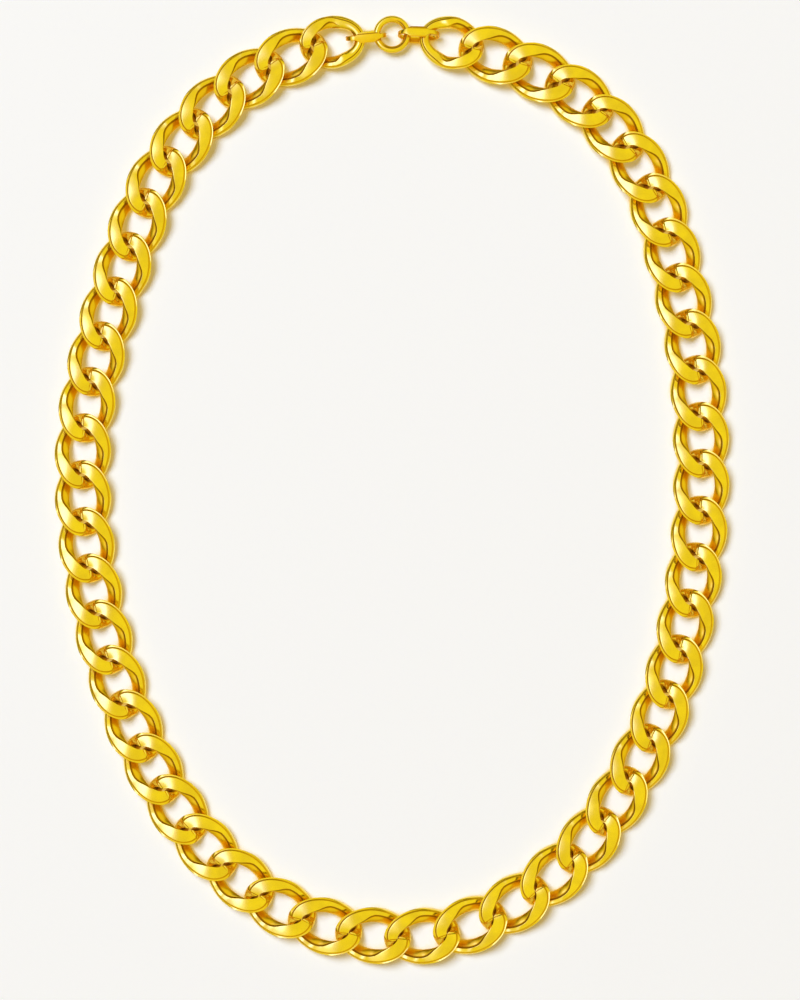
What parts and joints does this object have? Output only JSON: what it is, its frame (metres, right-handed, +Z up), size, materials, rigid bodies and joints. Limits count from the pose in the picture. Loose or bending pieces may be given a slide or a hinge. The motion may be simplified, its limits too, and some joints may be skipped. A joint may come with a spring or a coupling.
{
  "type": "curb chain necklace",
  "caption": "Chunky flat curb chain necklace, closed at the back by a plain round ring with a flat oval connector on each side, lying as a closed loop.",
  "frame": {"origin": "on the surface that the necklace lies on, under the middle of its bounding box", "axes": "+X across the loop to the wearer's left as it is laid out here, +Y towards the clasp ring, +Z up from the surface"},
  "size_m": [0.1258, 0.177, 0.0041],
  "materials": {
    "chain_gold": "polished",
    "clasp_gold": "polished"
  },
  "bodies": {
    "root": {"left_chain": "chain_gold", "right_chain": "chain_gold", "clasp_ring": "clasp_gold", "left_connector": "clasp_gold", "right_connector": "clasp_gold"}
  },
  "joints": []
}
